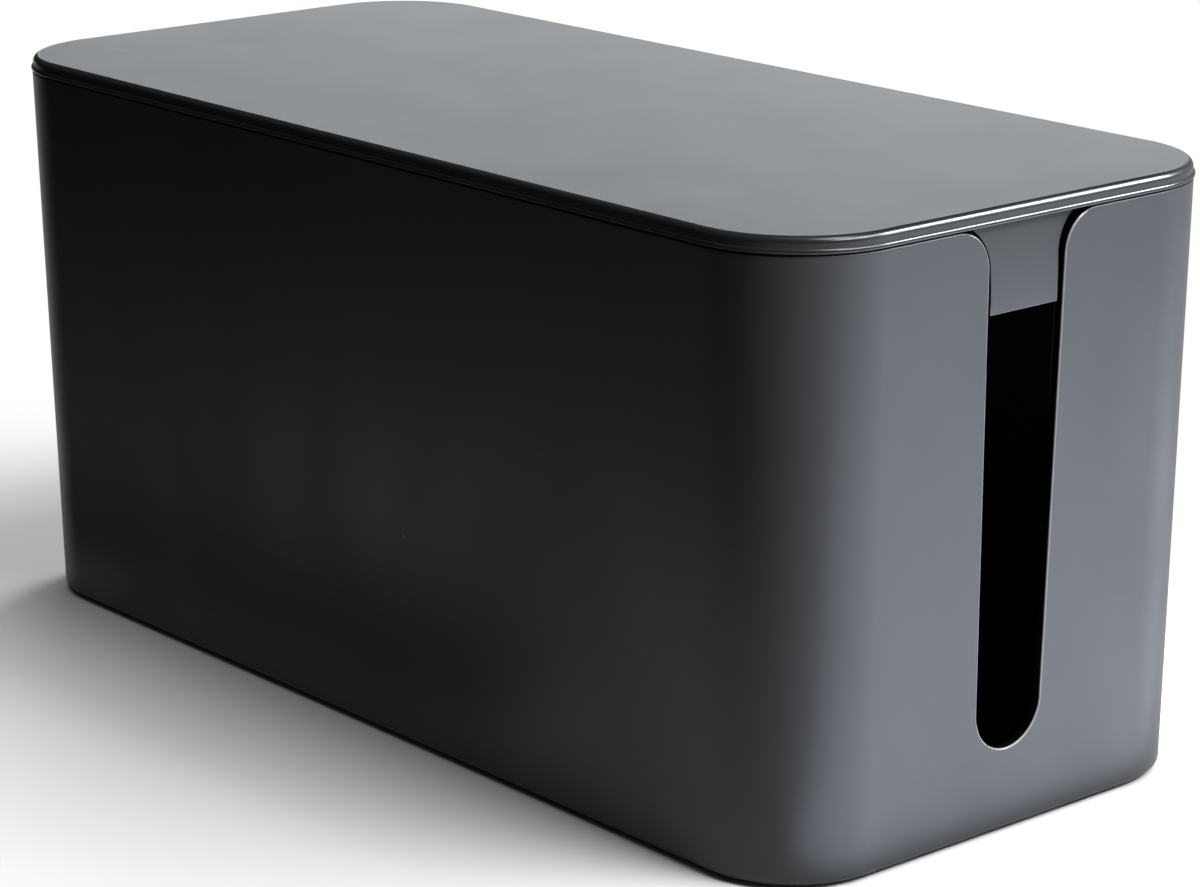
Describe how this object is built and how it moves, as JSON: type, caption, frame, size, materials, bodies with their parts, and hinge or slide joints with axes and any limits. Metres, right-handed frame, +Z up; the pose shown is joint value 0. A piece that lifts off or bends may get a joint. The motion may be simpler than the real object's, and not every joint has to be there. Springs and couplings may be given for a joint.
{
  "type": "cable management box",
  "caption": "Rounded oblong box that hides a power strip: a flared cable slot in each end wall, a lift-off lid with tongues that close the slot tops, and rubber feet.",
  "frame": {"origin": "middle of the box's footprint, on the surface that its feet stand on", "axes": "+X along the length towards one cable slot, +Y across the width towards the rear long side, +Z up, the way the lid lifts"},
  "size_m": [0.2906, 0.1332, 0.1378],
  "materials": {
    "tub_plastic": "satin charcoal moulded plastic with a fine even grain",
    "lid_plastic": "satin charcoal moulded plastic with a fine even grain",
    "foot_rubber": "matt black rubber"
  },
  "bodies": {
    "tub": {"tub": "tub_plastic", "foot_front_left": "foot_rubber", "foot_front_right": "foot_rubber", "foot_rear_left": "foot_rubber", "foot_rear_right": "foot_rubber"},
    "lid": {"lid": "lid_plastic"}
  },
  "joints": [
    {"name": "lid_lift", "type": "slide", "parent": "tub", "child": "lid", "axis": [0, 0, 1], "range_m": [0, 0.15]}
  ]
}
